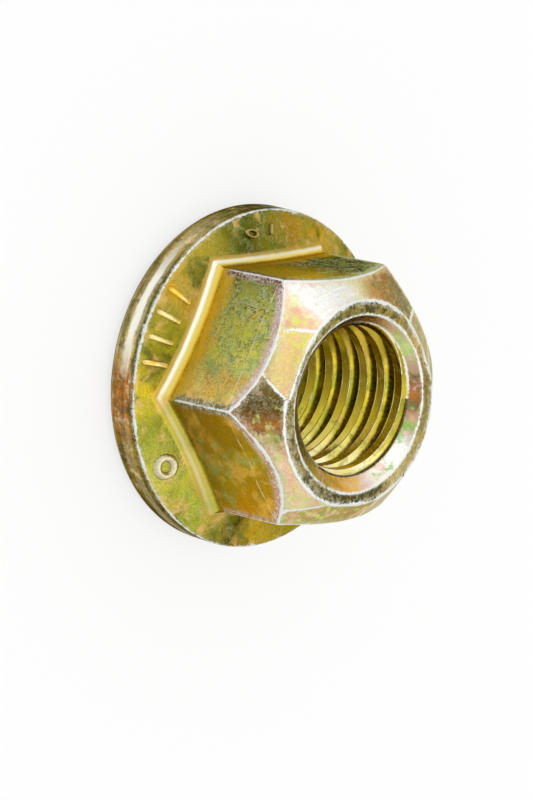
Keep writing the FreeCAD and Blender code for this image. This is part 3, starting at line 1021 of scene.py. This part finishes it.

# Foot of the hexagon: bands of painted reflection, tan towards the flange and golden towards the side,
# with a painted white highlight in the middle
footLook = flangeLook | {
    "paintedLightBands": [
        {"from": -0.1, "to": 0.24, "soft": 0.08, "colour": (0.5, 0.32, 0.09),
         "share": [(-60, 0.5), (0, 0.85), (60, 0.85), (64, 0.5), (120, 0.4), (220, 0.4)]},
        {"from": 0.5, "to": 1.4, "soft": 0.2, "colour": (0.86, 0.56, 0.03),
         "share": [(-60, 0.9), (56, 0.95), (64, 0.15), (120, 0.15), (220, 0.4)]},
        {"from": 0.26, "to": 0.72, "soft": 0.16, "colour": (0.97, 0.8, 0.24),
         "share": [(-60, 0.8), (58, 0.9), (63, 0.4), (90, 0.45), (120, 0.3), (220, 0.2)]},
        {"from": 0.27, "to": 0.47, "soft": 0.06, "colour": (1.0, 0.98, 0.86),
         "share": [(-60, 0.75), (-30, 0.45), (-4, 0.8), (0, 1.0), (30, 1.0), (58, 0.85), (63, 0.15),
                   (100, 0.2), (120, 0.1), (220, 0.15)]},
    ],
    "spotShare": 0.1, "fibreShare": 0.08, "roughness": 0.28, "grainTone": 0.22, "grainDepth": 0.004,
    "waveDepth": 0.012,
}

# Rim: pale yellow and pink above, brown and orange streaks below. Its bands are painted light: dark lines of
# painted shade and pale streaks of painted highlight
rimLook = plating | {
    "first": [
        (-80, 0.9, 0.7, 0.24), (-60, 0.85, 0.68, 0.18), (-44, 0.4, 0.36, 0.2), (-32, 0.1, 0.1, 0.04),
        (-16, 0.28, 0.28, 0.07), (0, 0.56, 0.4, 0.14), (14, 0.28, 0.2, 0.06), (30, 0.42, 0.36, 0.14),
        (44, 0.6, 0.46, 0.16), (54, 0.6, 0.24, 0.03), (66, 0.4, 0.15, 0.02), (78, 0.4, 0.26, 0.04),
        (92, 0.34, 0.24, 0.04), (112, 0.24, 0.16, 0.05), (126, 0.4, 0.34, 0.2), (220, 0.34, 0.27, 0.07),
    ],
    "second": [
        (-80, 0.9, 0.66, 0.4), (-56, 0.8, 0.66, 0.3), (-44, 0.5, 0.46, 0.24), (-32, 0.14, 0.14, 0.06),
        (0, 0.6, 0.46, 0.2), (14, 0.36, 0.26, 0.08), (44, 0.66, 0.5, 0.24), (54, 0.4, 0.14, 0.02),
        (66, 0.24, 0.1, 0.02), (92, 0.26, 0.18, 0.03), (126, 0.3, 0.26, 0.12), (220, 0.28, 0.24, 0.07),
    ],
    # Painted shade in the dark bands, painted highlight in the pale ones
    "paintedLightBands": [
        {"from": -0.3, "to": 0.3, "soft": 0.05, "colour": (0.055, 0.05, 0.012),
         "share": [(-70, 0.9), (-30, 0.9), (30, 0.85), (60, 0.75), (90, 0.85), (140, 0.9), (220, 0.5)]},
        {"from": 0.34, "to": 0.38, "soft": 0.02, "colour": (0.85, 0.8, 0.52),
         "share": [(-70, 0.1), (-30, 0.3), (0, 0.5), (40, 0.6), (60, 0.7), (90, 0.5), (140, 0.2)]},
        {"from": 0.43, "to": 0.51, "soft": 0.05, "colour": (0.12, 0.1, 0.03),
         "share": [(-60, 0.0), (-40, 0.6), (-10, 0.3), (4, 0.2), (14, 0.7), (50, 0.5), (70, 0.3), (100, 0.5),
                   (140, 0.6)]},
        {"from": 0.57, "to": 0.72, "soft": 0.03, "colour": (1.0, 0.99, 0.88),
         "share": [(-74, 0.8), (-56, 0.5), (-44, 0.0), (0, 0.1), (12, 0.7), (18, 1.0), (38, 1.0), (46, 0.6),
                   (53, 0.0), (88, 0.1), (110, 0.4), (124, 0.6), (140, 0.0)]},
        {"from": 0.79, "to": 0.88, "soft": 0.04, "colour": (0.08, 0.09, 0.015),
         "share": [(-60, 0.3), (-30, 0.7), (0, 0.4), (14, 0.95), (46, 0.95), (60, 0.6), (90, 0.5),
                   (140, 0.6)]},
    ],
    "spot": (0.72, 0.56, 0.34), "tint": (0.12, 0.1, 0.03), "patchSize": 1.1, "spotShare": 0.25,
    "tintShare": 0.25, "streakShare": 0.9, "fibreShare": 0.3, "roughness": 0.32,
    "halo": [(0, 0.2, 0.17, 0.06)], "edgeTint": (0.3, 0.24, 0.07),
}

# Bearing face and the countersink at it: plain yellow plating
bearingLook = plating | {
    "first": [(0, 0.42, 0.34, 0.1), (120, 0.36, 0.32, 0.1), (240, 0.44, 0.3, 0.09)],
    "second": [(0, 0.3, 0.28, 0.1), (120, 0.46, 0.36, 0.14), (240, 0.34, 0.3, 0.08)],
    "spot": (0.55, 0.55, 0.45), "spotShare": 0.4, "roughness": 0.4,
}


def makeNutBody():
    vertices, faces, values = makeNut()
    piece = makeMesh("nutBody", vertices, [corners for corners, zone in faces])
    looks = {
        "bearing": bearingLook, "rim": rimLook, "flange": flangeLook, "foot": footLook, "side": sideLook,
        "crown": crownLook, "land": landLook, "mouth": mouthLook, "thread": threadLook,
    }
    for name, look in looks.items():
        piece.data.materials.append(makePlating(name + "Plating", look))
    slots = {name: index for index, name in enumerate(looks)}
    slots["heel"] = slots["bearing"]
    piece.data.polygons.foreach_set("material_index", [slots[zone] for corners, zone in faces])
    for name in values:
        addValues(piece, name, values[name])
    dress(piece)
    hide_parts("flange_nut")
    triangles = sum(len(corners) - 2 for corners, zone in faces)
    print("nut:", len(vertices), "points,", triangles, "triangles")


print("making the nut")
makeNutBody()


# Raised marks on the flange: a ring, an oval with a bar beside it, and four short ticks.
# Lengths along the rim and outward, and each outline's levels from its foot to its top and down again
marks = {
    "rise": 0.2, "sink": 0.12, "segments": 48,
    "loops": {
        "ringMark": {"turn": 88, "radius": 9.25, "outer": (0.86, 0.78), "inner": (0.36, 0.27), "tilt": 0},
        "ovalMark": {"turn": -22, "radius": 9.3, "outer": (0.52, 0.3), "inner": (0.3, 0.12), "tilt": 20},
    },
    "bar": {"turn": -32, "radius": 9.3, "half": (0.36, 0.11), "tilt": 20},
    "tick": {"radius": 9.35, "half": (0.82, 0.2), "tilt": 0}, "tickTurns": (20, 29, 38, 47),
    "loopLevels": [(1.0, -1), (1.0, 0.0), (0.8, 1.0), (0.5, 1.15), (0.2, 1.0), (0.0, 0.0), (0.0, -1)],
    "barLevels": [(1.0, -1), (1.0, 0.0), (0.75, 0.8), (0.4, 1.1)],
}


def onFlange(mark, along, out, level):
    # A place on the flange's top, along the rim and outward from a mark's middle, turned by its tilt
    lean = math.radians(mark["tilt"])
    along, out = along * math.cos(lean) - out * math.sin(lean), along * math.sin(lean) + out * math.cos(lean)
    angle = math.radians(mark["turn"])
    x = (mark["radius"] + out) * math.cos(angle) - along * math.sin(angle)
    y = (mark["radius"] + out) * math.sin(angle) + along * math.cos(angle)
    rise = level * (marks["rise"] if level > 0 else marks["sink"])
    return x, y, flangeTop(math.hypot(x, y)) + rise


def ringFaces(count, rings, closed):
    # Faces between neighbouring rings of points, and from the last ring back to the first where it is closed
    faces = []
    for r in range(rings if closed else rings - 1):
        s = (r + 1) % rings
        for i in range(count):
            j = (i + 1) % count
            faces.append((r * count + i, r * count + j, s * count + j, s * count + i))
    return faces


def makeLoopMark(name):
    # A closed raised loop between two ovals, given by their half lengths along and out
    mark = marks["loops"][name]
    count = marks["segments"]
    vertices = []
    for share, level in marks["loopLevels"]:
        along, out = (low + (high - low) * share for low, high in zip(mark["inner"], mark["outer"]))
        for i in range(count):
            angle = 2 * math.pi * i / count
            vertices.append(onFlange(mark, along * math.cos(angle), out * math.sin(angle), level))
    return makeMesh(name, vertices, ringFaces(count, len(marks["loopLevels"]), True))


def makeBarMark(name, mark):
    # A short raised bar with round ends: half its length and half its width
    count = marks["segments"] // 2
    length, width = mark["half"]
    vertices = []
    for share, level in marks["barLevels"]:
        for i in range(count):
            angle = 2 * math.pi * (i + 0.5) / count
            out = width * share * math.sin(angle) + math.copysign(length - width, math.sin(angle))
            vertices.append(onFlange(mark, width * share * math.cos(angle), out, level))
    rings = len(marks["barLevels"])
    ends = [tuple(range(count - 1, -1, -1)), tuple((rings - 1) * count + i for i in range(count))]
    return makeMesh(name, vertices, ends + ringFaces(count, rings, False))


markLook = flangeLook | {
    "first": [
        (-30, 0.42, 0.32, 0.1), (0, 0.5, 0.38, 0.1), (16, 0.95, 0.66, 0.08), (50, 0.9, 0.6, 0.08),
        (70, 0.6, 0.54, 0.32), (110, 0.6, 0.54, 0.32),
    ],
    "second": [
        (-30, 0.36, 0.3, 0.08), (0, 0.46, 0.36, 0.1), (16, 0.98, 0.86, 0.4), (50, 0.95, 0.8, 0.36),
        (70, 0.66, 0.6, 0.4), (110, 0.66, 0.6, 0.4),
    ],
    "spotShare": 0.0, "tintShare": 0.1, "wear": 0.0, "grainTone": 0.5, "fibreShare": 0.1, "roughness": 0.3,
}


def makeMarks():
    material = makePlating("markPlating", markLook)
    ticks = [("tickMark" + str(index + 1), turn) for index, turn in enumerate(marks["tickTurns"])]
    pieces = [makeLoopMark(name) for name in marks["loops"]] + [makeBarMark("barMark", marks["bar"])]
    pieces += [makeBarMark(name, marks["tick"] | {"turn": turn}) for name, turn in ticks]
    for piece in pieces:
        piece.data.materials.append(material)
        dress(piece)


print("making the marks")
makeMarks()


# Camera, as the photograph was taken: it looks down on the flange and is rolled on its side
view = {"turn": 43.957, "height": 44.83, "roll": 102.334, "distance": 320, "target": (-2.074, -0.339, 1.738),
        "lens": 234.107, "sensor": 36}


def direction(turn, height):
    turn, height = math.radians(turn), math.radians(height)
    return Vector((math.cos(turn) * math.cos(height), math.sin(turn) * math.cos(height), math.sin(height)))


def makeCamera():
    data = bpy.data.cameras.new("camera")
    data.lens = view["lens"]
    data.sensor_width = view["sensor"]
    data.clip_start = mm
    camera = bpy.data.objects.new("camera", data)
    turn = math.radians(view["turn"])
    back = direction(view["turn"], view["height"])
    right = Vector((-math.sin(turn), math.cos(turn), 0))
    upright = back.cross(right)
    roll = math.radians(view["roll"])
    side = right * math.cos(roll) + upright * math.sin(roll)
    top = back.cross(side)
    place = (Vector(view["target"]) + back * view["distance"]) * mm
    camera.matrix_world = Matrix((
        (side.x, top.x, back.x, place.x),
        (side.y, top.y, back.y, place.y),
        (side.z, top.z, back.z, place.z),
        (0, 0, 0, 1),
    ))
    bpy.context.scene.collection.objects.link(camera)
    bpy.context.scene.camera = camera


print("setting the camera and the lights")
makeCamera()
scene = bpy.context.scene
scene.view_settings.view_transform = "Standard"


def seenDirectly(nodes):
    # 1 for rays from the camera, a glossy surface or glass
    rays = nodes.add("ShaderNodeLightPath").outputs
    seen = nodes.math("MAXIMUM", rays["Is Camera Ray"], rays["Is Glossy Ray"])
    return nodes.math("MAXIMUM", seen, rays["Is Transmission Ray"])


# The white paper under the nut, and the light from all round
studio = {
    "floorSize": 400, "paper": (0.9, 0.9, 0.9), "paperFibre": (0.88, 0.88, 0.87), "paperNoise": (1.5, 3.0),
    "paperRoughness": 0.95, "paperShine": 0.1, "paperShare": 0.72, "paperGlow": 1.0,
    "air": 1.05, "airLow": 0.75, "airRise": (-0.1, 0.8),
}


def makeFloor():
    # White paper that shows as white and keeps a soft shadow
    size = studio["floorSize"]
    corners = [(-size, -size, 0), (size, -size, 0), (size, size, 0), (-size, size, 0)]
    floor = makeMesh("floor", corners, [(0, 1, 2, 3)])
    material = bpy.data.materials.new("paper")
    material.use_nodes = True
    nodes = Nodes(material.node_tree)
    shader = material.node_tree.nodes["Principled BSDF"]
    fibre = nodes.noise(nodes.place(), *studio["paperNoise"])
    nodes.feed(shader.inputs["Base Color"], nodes.blend(fibre, studio["paper"], studio["paperFibre"]))
    shader.inputs["Roughness"].default_value = studio["paperRoughness"]
    shader.inputs["Specular IOR Level"].default_value = studio["paperShine"]
    glow = nodes.add("ShaderNodeEmission")
    glow.inputs["Strength"].default_value = studio["paperGlow"]
    mix = nodes.add("ShaderNodeMixShader")
    nodes.feed(mix.inputs["Fac"], nodes.times(seenDirectly(nodes), studio["paperShare"]))
    nodes.feed(mix.inputs[1], shader.outputs[0])
    nodes.feed(mix.inputs[2], glow.outputs[0])
    nodes.feed(material.node_tree.nodes["Material Output"].inputs["Surface"], mix.outputs[0])
    floor.data.materials.append(material)


def makeAir():
    # Soft light from all round, brighter from above
    world = bpy.data.worlds.new("studio")
    scene.world = world
    world.use_nodes = True
    nodes = Nodes(world.node_tree)
    background = world.node_tree.nodes["Background"]
    rise = nodes.axes(nodes.add("ShaderNodeTexCoord").outputs["Generated"])[2]
    lift = nodes.step(rise, *studio["airRise"])
    level = nodes.plus(studio["airLow"], nodes.times(lift, studio["air"] - studio["airLow"]))
    nodes.feed(background.inputs["Strength"], level)
    background.inputs["Color"].default_value = (1, 1, 1, 1)


# Turn and height in degrees, distance and size in millimetres, power in watts
lamps = {
    "keyLight": {"turn": -24, "height": 34, "distance": 260, "size": 130, "power": 0.022},
    "overLight": {"turn": 150, "height": 72, "distance": 260, "size": 160, "power": 0.06},
}


def makeLamp(name, settings):
    data = bpy.data.lights.new(name, "AREA")
    data.size = settings["size"] * mm
    data.energy = settings["power"]
    lamp = bpy.data.objects.new(name, data)
    away = direction(settings["turn"], settings["height"])
    lamp.location = away * settings["distance"] * mm
    lamp.rotation_mode = "QUATERNION"
    lamp.rotation_quaternion = away.to_track_quat("Z", "Y")
    scene.collection.objects.link(lamp)


makeFloor()
makeAir()
for name, settings in lamps.items():
    makeLamp(name, settings)
